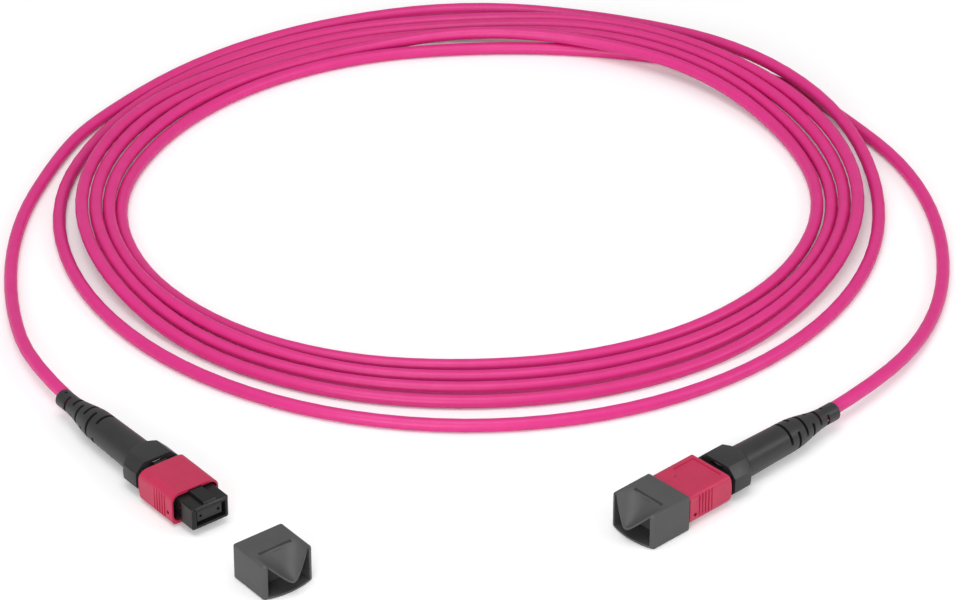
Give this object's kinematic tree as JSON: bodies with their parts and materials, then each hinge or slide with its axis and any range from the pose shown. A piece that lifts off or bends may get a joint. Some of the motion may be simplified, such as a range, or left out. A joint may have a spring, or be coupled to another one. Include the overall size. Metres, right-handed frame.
{
  "type": "multi-fibre push-on patch cord",
  "caption": "Multi-fibre push-pull optical plug with a flat ferrule, sprung coupling sleeve, strain relief boot, dust cap and a coiled round cable to a matching plug.",
  "frame": {"origin": "centre of the near plug's ferrule end face", "axes": "+X out of that face towards the mating plug, +Z towards the key side; both plugs lie flat on a surface at z = -4.4 mm"},
  "size_m": [0.2374, 0.2338, 0.0096],
  "materials": {
    "cable_magenta": "satin extruded jacket",
    "sleeve_crimson": "fine moulded",
    "housing_black": "fine moulded",
    "boot_black": "soft moulded",
    "cap_grey": "soft moulded",
    "ferrule_resin": "glass-filled, polished face",
    "ferrule_rubber": "soft",
    "keeper_metal": "pressed",
    "spring_steel": "drawn wire",
    "crimp_metal": "drawn tube, crimped",
    "ribbon_film": "clear film over coloured fibres"
  },
  "bodies": {
    "patch_cord": {"inner_housing": "housing_black", "spring_push": "housing_black", "crimp_sleeve": "crimp_metal", "strain_boot": "boot_black", "main_spring": "spring_steel", "sleeve_spring_left": "spring_steel", "sleeve_spring_right": "spring_steel", "far_inner_housing": "housing_black", "far_spring_push": "housing_black", "far_crimp_sleeve": "crimp_metal", "far_strain_boot": "boot_black", "far_main_spring": "spring_steel", "far_sleeve_spring_left": "spring_steel", "far_sleeve_spring_right": "spring_steel", "cord_lead_near": "cable_magenta", "cord_coil": "cable_magenta", "cord_lead_far": "cable_magenta"},
    "coupling_sleeve": {"coupling_sleeve": "sleeve_crimson"},
    "ferrule_set": {"ferrule": "ferrule_resin", "ferrule_boot": "ferrule_rubber", "pin_keeper": "keeper_metal", "fibre_ribbon": "ribbon_film"},
    "dust_cap": {"dust_cap": "cap_grey"},
    "far_coupling_sleeve": {"far_coupling_sleeve": "sleeve_crimson"},
    "far_ferrule_set": {"far_ferrule": "ferrule_resin", "far_ferrule_boot": "ferrule_rubber", "far_pin_keeper": "keeper_metal", "far_fibre_ribbon": "ribbon_film"},
    "far_dust_cap": {"far_dust_cap": "cap_grey"}
  },
  "joints": [
    {"name": "sleeve_slide", "type": "slide", "parent": "patch_cord", "child": "coupling_sleeve", "axis": [1, 0, 0], "range_m": [-0.0012, 0], "stiffness_N_per_m": 150, "springref_m": 0.003, "deforming": ["sleeve_spring_left", "sleeve_spring_right"]},
    {"name": "ferrule_slide", "type": "slide", "parent": "patch_cord", "child": "ferrule_set", "axis": [1, 0, 0], "range_m": [-0.001, 0], "stiffness_N_per_m": 300, "springref_m": 0.004, "deforming": ["main_spring"]},
    {"name": "cap_slide", "type": "slide", "parent": "patch_cord", "child": "dust_cap", "axis": [1, 0, 0], "range_m": [-0.0228, 0]},
    {"name": "far_sleeve_slide", "type": "slide", "parent": "patch_cord", "child": "far_coupling_sleeve", "axis": [0.0872, -0.9962, 0], "range_m": [-0.0012, 0], "stiffness_N_per_m": 150, "springref_m": 0.003, "deforming": ["far_sleeve_spring_left", "far_sleeve_spring_right"]},
    {"name": "far_ferrule_slide", "type": "slide", "parent": "patch_cord", "child": "far_ferrule_set", "axis": [0.0872, -0.9962, 0], "range_m": [-0.001, 0], "stiffness_N_per_m": 300, "springref_m": 0.004, "deforming": ["far_main_spring"]},
    {"name": "far_cap_slide", "type": "slide", "parent": "patch_cord", "child": "far_dust_cap", "axis": [0.0872, -0.9962, 0], "range_m": [0, 0.02]}
  ]
}
